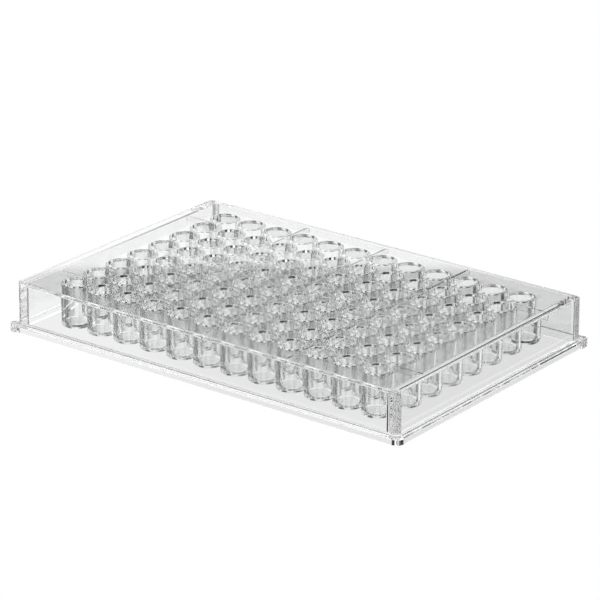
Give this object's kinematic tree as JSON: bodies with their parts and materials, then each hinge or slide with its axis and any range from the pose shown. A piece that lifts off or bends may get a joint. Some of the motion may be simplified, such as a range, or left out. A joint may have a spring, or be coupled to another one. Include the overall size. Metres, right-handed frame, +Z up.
{
  "type": "well plate",
  "caption": "Flat rectangular laboratory plate of clear plastic, with a grid of round open wells, a drafted skirt and a base flange that nests on another plate.",
  "frame": {"origin": "on the surface it stands on, under the middle of the plate", "axes": "+X along the long side, +Y along the short side, +Z up, out of the wells"},
  "size_m": [0.1278, 0.0854, 0.0142],
  "materials": {
    "clear_plastic": "clear moulded polystyrene, polished"
  },
  "bodies": {
    "root": {"well_plate": "clear_plastic"}
  },
  "joints": []
}
